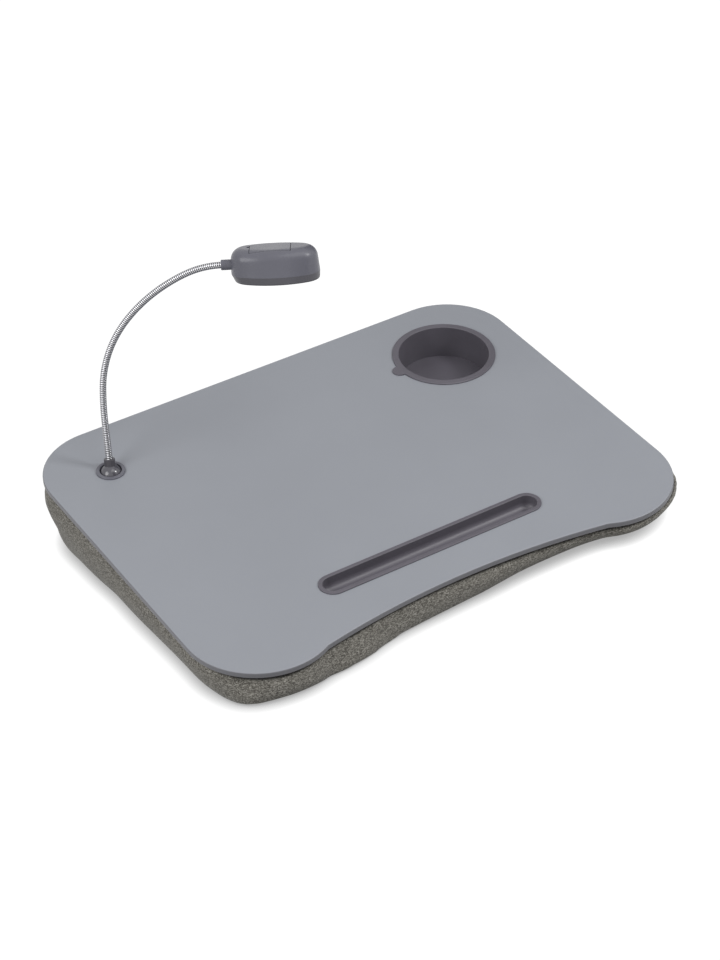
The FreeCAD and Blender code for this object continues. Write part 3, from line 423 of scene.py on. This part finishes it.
def soft_cap():
    """Rubber cap of the switch, with a fine matt grain."""
    finish = Finish("button_rubber", specular_ior_level=0.3)
    grain = finish.speckle(finish.place(), 0.4 * MM, detail=3.0)
    colour = finish.mix(finish.between(grain, 0.3, 0.7), srgb(38, 38, 40), srgb(52, 52, 54))
    return finish.feed(colour, finish.between(grain, 0.3, 0.7, 0.55, 0.7), grain, 0.03 * MM, 0.6)


INSERT_GREY = srgb(97, 94, 102)
LAMP_GREY = srgb(108, 108, 117)
BALL_GREY = srgb(86, 85, 92)
COLLAR_GREY = srgb(72, 70, 76)
# A darker copy of the lamp's grey: painted shade for the head's lower band
SHADED_BAND_GREY = srgb(89, 88, 94)
BLACK_PLASTIC = srgb(36, 36, 38)

FINISHES = {
    "board_lacquer": lacquer(),
    "insert_plastic": moulded("insert_plastic", INSERT_GREY, 0.06, 0.42),
    "fleece": fleece(),
    "lining_cloth": lining(),
    "lamp_plastic": moulded("lamp_plastic", LAMP_GREY, 0.025, 0.28, spark=0.4 * MM, depth=0.02 * MM,
                            gloss=0.3),
    "dark_plastic": moulded("dark_plastic", BLACK_PLASTIC, 0.08, 0.45),
    "band_plastic_shaded": moulded("band_plastic_shaded", SHADED_BAND_GREY, 0.05, 0.36, spark=0.4 * MM, depth=0.02 * MM),
    "ball_plastic": moulded("ball_plastic", BALL_GREY, 0.05, 0.13, depth=0.005 * MM, gloss=0.6),
    "collar_plastic": moulded("collar_plastic", COLLAR_GREY, 0.06, 0.35),
    "neck_steel": plated_hose(),
    "spring_steel": sheet_metal("spring_steel", srgb(205, 205, 206), srgb(165, 165, 168), 0.25),
    "lens_clear": clear_lens(),
    "circuit": circuit(),
    "diode": diode(),
    "cell_can": cell_can(),
    "button_rubber": soft_cap(),
}


def dress_solids():
    """Give each solid that stays in view its slot's finish."""
    for subpart in frame["record"]["subparts"]:
        finish = FINISHES.get(subpart["material_slot"])
        solid = NODES[subpart["node"]]
        if finish is not None:
            solid.data.materials.clear()
            solid.data.materials.append(finish)
    dress_ball(NODES["lamp_ball"])
    # Painted shade: the lower bezel gets a darker copy of the lamp plastic for the shade on the head's lower band.
    NODES["lamp_lower_bezel"].data.materials[0] = FINISHES["band_plastic_shaded"]


def dress_ball(solid):
    """The ball is polished where it turns, and the collar that grips the neck is darker."""
    mesh = solid.data
    mesh.materials.clear()
    mesh.materials.append(FINISHES["ball_plastic"])
    mesh.materials.append(FINISHES["collar_plastic"])
    reaches = [(solid.matrix_world @ face.center - BALL).length for face in mesh.polygons]
    collar = [int(reach > BALL_RADIUS + COLLAR_STEP) for reach in reaches]
    mesh.polygons.foreach_set("material_index", collar)


# Meshes

def new_piece(name, vertices, faces, smooth=True):
    """A mesh object in the scene from its corners and faces."""
    mesh = bpy.data.meshes.new(name)
    mesh.from_pydata([tuple(v) for v in vertices], [], faces)
    mesh.validate()
    piece = bpy.data.objects.new(name, mesh)
    bpy.context.scene.collection.objects.link(piece)
    mesh.polygons.foreach_set("use_smooth", [smooth] * len(mesh.polygons))
    mesh.update()
    return piece


def points_of(mesh):
    points = np.empty(len(mesh.vertices) * 3)
    mesh.vertices.foreach_get("co", points)
    return points.reshape(-1, 3)


def set_points(mesh, points):
    mesh.vertices.foreach_set("co", points.astype(np.float32).ravel())
    mesh.update()


def make_active(piece):
    bpy.ops.object.select_all(action="DESELECT")
    piece.select_set(True)
    bpy.context.view_layer.objects.active = piece


def apply_modifier(piece, kind, **settings):
    modifier = piece.modifiers.new(kind.lower(), kind)
    for name, value in settings.items():
        setattr(modifier, name, value)
    make_active(piece)
    bpy.ops.object.modifier_apply(modifier=modifier.name)


# Cushion

def arc(x, y, radius, start, end, count):
    """Points on an arc between two angles in degrees, without the last."""
    angles = np.radians(np.linspace(start, end, count, endpoint=False))
    return np.stack([x + radius * np.cos(angles), y + radius * np.sin(angles)], 1)


def run(start, end, count):
    """Points on a straight line, without the last."""
    share = np.linspace(0, 1, count, endpoint=False)[:, None]
    return np.array(start) * (1 - share) + np.array(end) * share


def board_outline(inset):
    """The board's outline drawn in by an inset, counter-clockwise from the right side."""
    rear_x, rear_y = HALF_WIDTH - REAR_CORNER, HALF_DEPTH - REAR_CORNER
    lobe_x, lobe_y = HALF_WIDTH - FRONT_CORNER, FRONT_CORNER - HALF_DEPTH
    belly_y = BELLY_DEPTH - HALF_DEPTH - BELLY_RADIUS
    lobe, belly = FRONT_CORNER - inset, BELLY_RADIUS + inset
    gap = math.hypot(lobe_x, lobe_y - belly_y)
    along = (gap ** 2 + belly ** 2 - lobe ** 2) / (2 * gap)
    across = math.sqrt(belly ** 2 - along ** 2)
    bearing = math.atan2(lobe_y - belly_y, lobe_x) + math.atan2(across, along)
    kink_x, kink_y = belly * math.cos(bearing), belly_y + belly * math.sin(bearing)
    lobe_turn = math.degrees(math.atan2(kink_y - lobe_y, kink_x - lobe_x))
    belly_turn = math.degrees(bearing)
    side, back, corner = HALF_WIDTH - inset, HALF_DEPTH - inset, REAR_CORNER - inset
    return np.concatenate([
        run((side, lobe_y), (side, rear_y), SIDE_POINTS),
        arc(rear_x, rear_y, corner, 0, 90, CORNER_POINTS),
        run((rear_x, back), (-rear_x, back), BACK_POINTS),
        arc(-rear_x, rear_y, corner, 90, 180, CORNER_POINTS),
        run((-side, rear_y), (-side, lobe_y), SIDE_POINTS),
        arc(-lobe_x, lobe_y, lobe, 180, 180 - lobe_turn, LOBE_POINTS),
        arc(0, belly_y, belly, 180 - belly_turn, belly_turn, BELLY_POINTS),
        arc(lobe_x, lobe_y, lobe, lobe_turn, 0, LOBE_POINTS),
    ])


def slumped(plan, share):
    """Move an outline in or out where the beads have run away from or piled up against the cloth."""
    ahead = np.roll(plan, -1, axis=0) - np.roll(plan, 1, axis=0)
    outward = np.stack([ahead[:, 1], -ahead[:, 0]], 1) / np.linalg.norm(ahead, axis=1, keepdims=True)
    shift = np.zeros(len(plan))
    high = math.exp(-((share - SHOULDER) / SHOULDER_SPREAD) ** 2)
    for place, reach, foot, shoulder in SLUMPS:
        near = np.exp(-np.sum((plan - place) ** 2, axis=1) / reach ** 2)
        shift += near * (foot * share ** 2 + shoulder * high * min(share / SIDE_SHARES[1], 1))
    return plan + outward * shift[:, None]


def cushion_ring(share):
    """The cushion's outline at a share of the way from the board's underside down to the floor."""
    inset = np.interp(share, SIDE_SHARES, SIDE_INSETS)
    plan = slumped(board_outline(inset), share)
    if share == 0:
        return np.array([on_board(x, y, -BOARD_THICKNESS - CLOTH_GAP) for x, y in plan])
    height = 1 - share
    level = BOARD_MIDDLE.z * height
    lean = TILT * height
    drop = (BOARD_THICKNESS + CLOTH_GAP) * height
    x, y = plan.T
    return np.stack([x, y * math.cos(lean) + drop * math.sin(lean),
                     level + y * math.sin(lean) - drop * math.cos(lean)], 1)


def cushion_blank():
    """A closed blank for the cushion, drawn in at the board and rounded to its flat underside."""
    steps = zip(SIDE_SHARES, SIDE_SHARES[1:])
    shares = np.concatenate([np.linspace(a, b, RINGS_PER_STEP, endpoint=False) for a, b in steps])
    rings = [cushion_ring(share) for share in [*shares, SIDE_SHARES[-1]]]
    count = len(rings[0])
    faces = [tuple(range(count))]
    for level in range(len(rings) - 1):
        low, high = (level + 1) * count, level * count
        for i in range(count):
            j = (i + 1) % count
            faces.append((high + j, high + i, low + i, low + j))
    base = (len(rings) - 1) * count
    faces.append(tuple(base + i for i in reversed(range(count))))
    return new_piece("cushion", np.concatenate(rings), faces)


def under_board(points):
    """How far points lie under the board's underside, less the cloth's gap."""
    offset = points - np.array(on_board(0, 0, -BOARD_THICKNESS - CLOTH_GAP))
    return -offset @ np.array(BOARD_UP)


def swell(piece):
    """Blow the bag up under pressure, held at the board and where it lies on the floor."""
    start = points_of(piece.data)
    held = np.flatnonzero((under_board(start) < HELD_DEPTH) | (start[:, 2] < HELD_DEPTH))
    group = piece.vertex_groups.new(name="held")
    group.add(held.tolist(), 1.0, "REPLACE")
    cloth = piece.modifiers.new("swell", "CLOTH")
    cloth.settings.vertex_group_mass = group.name
    cloth.settings.use_pressure = True
    cloth.settings.uniform_pressure_force = SWELL_PRESSURE
    cloth.settings.effector_weights.gravity = 0
    cloth.point_cache.frame_start = 1
    cloth.point_cache.frame_end = SWELL_FRAMES
    scene = bpy.context.scene
    for step in range(1, SWELL_FRAMES + 1):
        scene.frame_set(step)
    swollen = points_of(piece.evaluated_get(bpy.context.evaluated_depsgraph_get()).data)
    piece.modifiers.remove(cloth)
    piece.vertex_groups.remove(group)
    scene.frame_set(1)
    move = swollen - start
    length = np.linalg.norm(move, axis=1, keepdims=True)
    set_points(piece.data, start + move * np.minimum(1, SWELL_CAP / np.maximum(length, 1e-9)))


def lump(piece):
    """Beads pushing at the cloth: broad lumps on the sides, and creases along the upper edge."""
    points = points_of(piece.data)
    normals = np.empty(len(points) * 3)
    piece.data.vertices.foreach_get("normal", normals)
    normals = normals.reshape(-1, 3)
    outward = normals * (1, 1, LUMP_LIFT)
    side = np.linalg.norm(normals[:, :2], axis=1)
    fade = side * np.clip(under_board(points) / LUMP_FADE, 0, 1)
    broad = np.array([noise.noise(Vector(p) / LUMP_WIDTH) for p in points])
    drawn = [Vector((x / CREASE_STRETCH, y / CREASE_STRETCH, z)) for x, y, z in points]
    crease = np.array([noise.noise(point / CREASE_WIDTH) for point in drawn])
    height = broad * LUMP_HEIGHT + crease * CREASE_HEIGHT
    points = points + outward * (height * fade)[:, None]
    points[:, 2] = np.maximum(points[:, 2], 0)
    over = np.minimum(under_board(points), 0)
    set_points(piece.data, points + over[:, None] * np.array(BOARD_UP))


def well_tool(name, plan, depth):
    """A straight-sided tool for a well, from above the board's underside down to a depth."""
    count = len(plan)
    top = [on_board(x, y, 0) for x, y in plan]
    foot = [on_board(x, y, -depth) for x, y in plan]
    faces = [tuple(range(count)), tuple(count + i for i in reversed(range(count)))]
    faces += [((i + 1) % count, i, count + i, count + (i + 1) % count) for i in range(count)]
    tool = new_piece(name, top + foot, faces, smooth=False)
    tool.data.materials.append(FINISHES["lining_cloth"])
    return tool


def cut_wells(piece):
    """Sink wells for the cup insert, the pen trough and the lamp's nut, lined with dark cloth."""
    half = PEN_WELL_LENGTH / 2 - PEN_WELL_WIDTH / 2
    radius = PEN_WELL_WIDTH / 2
    lamp = LAMP_FOOT - BOARD_MIDDLE
    lamp_place = (lamp.dot(BOARD_RIGHT), lamp.dot(BOARD_BACK))
    slot = np.concatenate([arc(half, PEN_PLACE, radius, -90, 90, SLOT_POINTS),
                           arc(-half, PEN_PLACE, radius, 90, 270, SLOT_POINTS)])
    tools = [
        well_tool("cup_tool", arc(*CUP_PLACE, CUP_WELL_RADIUS, 0, 360, CUP_POINTS), CUP_WELL_DEPTH),
        well_tool("pen_tool", slot, PEN_WELL_DEPTH),
        well_tool("nut_tool", arc(*lamp_place, NUT_WELL_RADIUS, 0, 360, NUT_POINTS), NUT_WELL_DEPTH),
    ]
    for tool in tools:
        apply_modifier(piece, "BOOLEAN", operation="DIFFERENCE", object=tool, solver="EXACT")
        bpy.data.objects.remove(tool)


def make_cushion():
    """The fleece bag in one piece, blown up, lumpy, and hollowed for what hangs under the board."""
    cushion = cushion_blank()
    make_active(cushion)
    cushion.data.remesh_voxel_size = CUSHION_VOXEL
    bpy.ops.object.voxel_remesh()
    swell(cushion)
    apply_modifier(cushion, "SUBSURF", levels=1)
    lump(cushion)
    cushion.data.materials.append(FINISHES["fleece"])
    cut_wells(cushion)
    cushion.data.polygons.foreach_set("use_smooth", [True] * len(cushion.data.polygons))
    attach(cushion, "tray")
    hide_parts("cushion_cover", "cushion_lining", "cushion_filling")


# Gooseneck

BEND_AXIS = Vector(JOINTS["neck_bend_1"]["axis"])
HEAD_UP = Vector(JOINTS["switch_press"]["axis"])
HEAD_AHEAD = BEND_AXIS.cross(HEAD_UP)
HEAD_ENTRY = Vector(JOINTS["lid_hinge"]["pos_m"]) - HEAD_AHEAD * LID_AXIS_REACH - HEAD_UP * LID_AXIS_RISE


class NeckLine:
    """The neck's curve: an arc from each hinge to the next, smooth from the collar to the sleeve."""

    def __init__(self):
        hinges = [Vector(JOINTS[f"neck_bend_{k}"]["pos_m"]) for k in range(1, 7)]
        heading = (hinges[0] - BALL).normalized()
        knots = [BALL + heading * COLLAR_TOP, *hinges, HEAD_ENTRY - HEAD_AHEAD * SLEEVE_LENGTH]
        self.spans = []
        for start, end in zip(knots, knots[1:]):
            chord = end - start
            half_turn = math.atan2(heading.cross(chord).dot(BEND_AXIS), heading.dot(chord))
            bend = half_turn / math.sin(half_turn) if abs(half_turn) > 1e-6 else 1.0
            self.spans.append((start, heading, half_turn * 2, chord.length * bend))
            heading = Matrix.Rotation(half_turn * 2, 3, BEND_AXIS) @ heading
        self.starts = np.concatenate([[0], np.cumsum([span[3] for span in self.spans])])
        self.length = self.starts[-1]

    def at(self, reach):
        """Point and heading at a reach along the curve; past its ends it runs on straight."""
        index = int(np.clip(np.searchsorted(self.starts, reach, side="right") - 1, 0, len(self.spans) - 1))
        start, heading, turn, length = self.spans[index]
        local = reach - self.starts[index]
        inside = min(max(local, 0.0), length)
        half = turn * inside / length / 2
        chord = inside * (math.sin(half) / half if abs(half) > 1e-9 else 1.0)
        point = start + Matrix.Rotation(half, 3, BEND_AXIS) @ heading * chord
        heading = Matrix.Rotation(half * 2, 3, BEND_AXIS) @ heading
        return point + heading * (local - inside), heading

    def middle(self, index):
        """The reach of a span's middle."""
        return (self.starts[index] + self.starts[index + 1]) / 2


def hose_piece(name, line, first_turn, last_turn):
    """Wound hose between two turns of its wire: half-round beads that run on as one helix."""
    rows = (last_turn - first_turn) * BEAD_STEPS + 1
    points, groove = [], []
    for row in range(rows):
        turn, step = divmod(row, BEAD_STEPS)
        bead = (1 - math.cos(math.pi * step / BEAD_STEPS)) / 2
        swell_share = math.sin(math.pi * step / BEAD_STEPS)
        radius = HOSE_ROOT + (HOSE_RADIUS - HOSE_ROOT) * swell_share
        for side in range(HOSE_SIDES + 1):
            reach = (first_turn + turn + bead + side / HOSE_SIDES) * HOSE_PITCH
            centre, heading = line.at(reach)
            angle = 2 * math.pi * side / HOSE_SIDES
            across = heading.cross(BEND_AXIS)
            points.append(centre + (BEND_AXIS * math.cos(angle) + across * math.sin(angle)) * radius)
            groove.append(1 - swell_share)
    wide = HOSE_SIDES + 1
    faces = []
    for row in range(rows - 1):
        for side in range(HOSE_SIDES):
            corner = row * wide + side
            faces.append((corner, corner + wide, corner + wide + 1, corner + 1))
    piece = new_piece(name, points, faces)
    # How deep each point lies between the turns, kept on the mesh to paint shade there and to roughen it.
    attribute = piece.data.attributes.new("groove", "FLOAT", "POINT")
    attribute.data.foreach_set("value", groove)
    weld = bmesh.new()
    weld.from_mesh(piece.data)
    bmesh.ops.remove_doubles(weld, verts=weld.verts, dist=WELD_REACH)
    weld.to_mesh(piece.data)
    weld.free()
    piece.data.materials.append(FINISHES["neck_steel"])
    return piece


def make_neck():
    """The wound neck in pieces that meet in the middle of each span, each running across one hinge."""
    line = NeckLine()
    joins = [line.middle(k) for k in range(len(line.spans))]
    turns = [round(join / HOSE_PITCH) for join in joins]
    turns[0] = round(-HOSE_GRIP / HOSE_PITCH)
    turns[-1] = round((line.length + HOSE_GRIP) / HOSE_PITCH) - 1
    for k in range(len(joins) - 1):
        piece = hose_piece(f"neck_hose_{k + 1}", line, turns[k], turns[k + 1])
        replaced = [f"neck_span_{k + 1}"] + (["neck_span_7"] if k == len(joins) - 2 else [])
        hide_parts(*replaced)
        start, end = line.at(joins[k])[0], line.at(joins[k + 1])[0]
        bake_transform(piece)


# Stage

FLOOR_HALF = 4.0
FLOOR_DROP = 0.2 * MM
FLOOR_TONE = 0.36
FLOOR_GLOW = 1.08
# Contact shadow: how far it reaches, how open the floor is at its ends, and its deepest tone
SHADOW_REACH = 11 * MM
SHADOW_OPEN = (0.2, 0.9)
SHADOW_TONE = 0.4
SHADOW_SAMPLES = 16
# Distances between which the lights' own shadow fades out, and the floor's glow under the part
SHADOW_NEAR = 0.25
SHADOW_FAR = 0.45
SHADOW_LIFT = 0.93
AMBIENT = 0.3
# Softboxes: place, width and power
SOFTBOXES = {
    "top": ((0.35, -0.8, 1.5), 1.3, 7.3),
    "left": ((-1.57, -0.2, 1.07), 1.1, 14.3),
    "right": ((1.0, -0.95, 1.2), 0.45, 10),
}
# Black flags that only mirror-like surfaces see: place, width and height
FLAGS = {
    "front": ((0.12, -1.1, 1.0), 0.7, 2.0),
    "rear": ((1.3, 0.8, 0.9), 1.2, 1.8),
}


def seen_directly(tree):
    """1 for rays from the camera, and for what metal and glass mirror or let through."""
    def path(kind):
        return tree.node("LightPath", output=kind)
    mirrored = path("Is Camera Ray").math("MAXIMUM", path("Is Glossy Ray"))
    return mirrored.math("MAXIMUM", path("Is Transmission Ray"))


def make_floor():
    """A pale floor that stays white in view, apart from the shadow where the cushion meets it."""
    ways = ((-1, -1), (1, -1), (1, 1), (-1, 1))
    corners = [(x * FLOOR_HALF, y * FLOOR_HALF, -FLOOR_DROP) for x, y in ways]
    floor = new_piece("floor", corners, [(0, 1, 2, 3)], smooth=False)
    finish = Finish("studio_floor", base_color=grey(FLOOR_TONE), roughness=0.9, specular_ior_level=0.0)
    open_sky = finish.node("AmbientOcclusion", {"samples": SHADOW_SAMPLES}, {"Distance": SHADOW_REACH}, "AO")
    level = finish.between(open_sky, *SHADOW_OPEN, SHADOW_TONE, 1.0) * FLOOR_GLOW
    glow = finish.node("Emission", None, {"Color": grey(1.0), "Strength": level})
    matt = Wire(finish, finish.shader.outputs["BSDF"])
    reach = finish.node("VectorMath", {"operation": "LENGTH"}, [finish.place()], output="Value")
    share = finish.between(reach, SHADOW_NEAR, SHADOW_FAR, SHADOW_LIFT, 1.0)
    shown = finish.node("MixShader", None, [seen_directly(finish) * share, matt, glow])
    finish.join(shown, finish.tree.nodes["Material Output"].inputs["Surface"])
    floor.data.materials.append(finish.material)


def make_world():
    """White surroundings in view, dimmer as a light."""
    world = bpy.data.worlds.new("studio")
    world.use_nodes = True
    bpy.context.scene.world = world
    tree = Tree(world.node_tree)
    background = world.node_tree.nodes["Background"]
    background.inputs["Color"].default_value = grey(1.0)
    direct = seen_directly(tree)
    tree.join(direct * (1 - AMBIENT) + AMBIENT, background.inputs["Strength"])


def make_softbox(name, place, size, power):
    """A round softbox that faces the part."""
    lamp = bpy.data.lights.new(name, "AREA")
    lamp.shape = "DISK"
    lamp.size = size
    lamp.energy = power
    box = bpy.data.objects.new(name, lamp)
    box.location = place
    box.rotation_euler = (-Vector(place)).to_track_quat("-Z", "Y").to_euler()
    bpy.context.scene.collection.objects.link(box)


def make_flag(name, place, width, height):
    """An upright black card that faces the part."""
    side = Vector((-place[1], place[0], 0)).normalized() * width / 2
    lift = Vector((0, 0, height / 2))
    middle = Vector(place)
    corners = [middle - side - lift, middle + side - lift, middle + side + lift, middle - side + lift]
    flag = new_piece(name, corners, [(0, 1, 2, 3)], smooth=False)
    finish = Finish("flag_cloth", base_color=grey(0.01), roughness=1.0, specular_ior_level=0.0)
    flag.data.materials.append(finish.material)
    for ray in ("camera", "diffuse", "transmission", "volume_scatter", "shadow"):
        setattr(flag, "visible_" + ray, False)


def make_camera():
    """The camera that was fitted to the photograph."""
    ahead, right = along_board(*CAMERA_AHEAD), along_board(*CAMERA_RIGHT)
    up = right.cross(ahead)
    data = bpy.data.cameras.new("camera")
    data.sensor_width = SENSOR
    data.lens = FOCAL_PIXELS / LONG_SIDE_PIXELS * SENSOR
    camera = bpy.data.objects.new("camera", data)
    turn = Matrix((right, up, -ahead)).transposed().to_4x4()
    camera.matrix_world = Matrix.Translation(on_board(*CAMERA_PLACE)) @ turn
    bpy.context.scene.collection.objects.link(camera)
    bpy.context.scene.camera = camera


dress_solids()
make_cushion()
make_neck()
make_floor()
make_world()
for name, (place, width, power) in SOFTBOXES.items():
    make_softbox(name, place, width, power)
for name, (place, width, height) in FLAGS.items():
    make_flag("flag_" + name, place, width, height)
make_camera()
bpy.context.scene.view_settings.view_transform = "Standard"
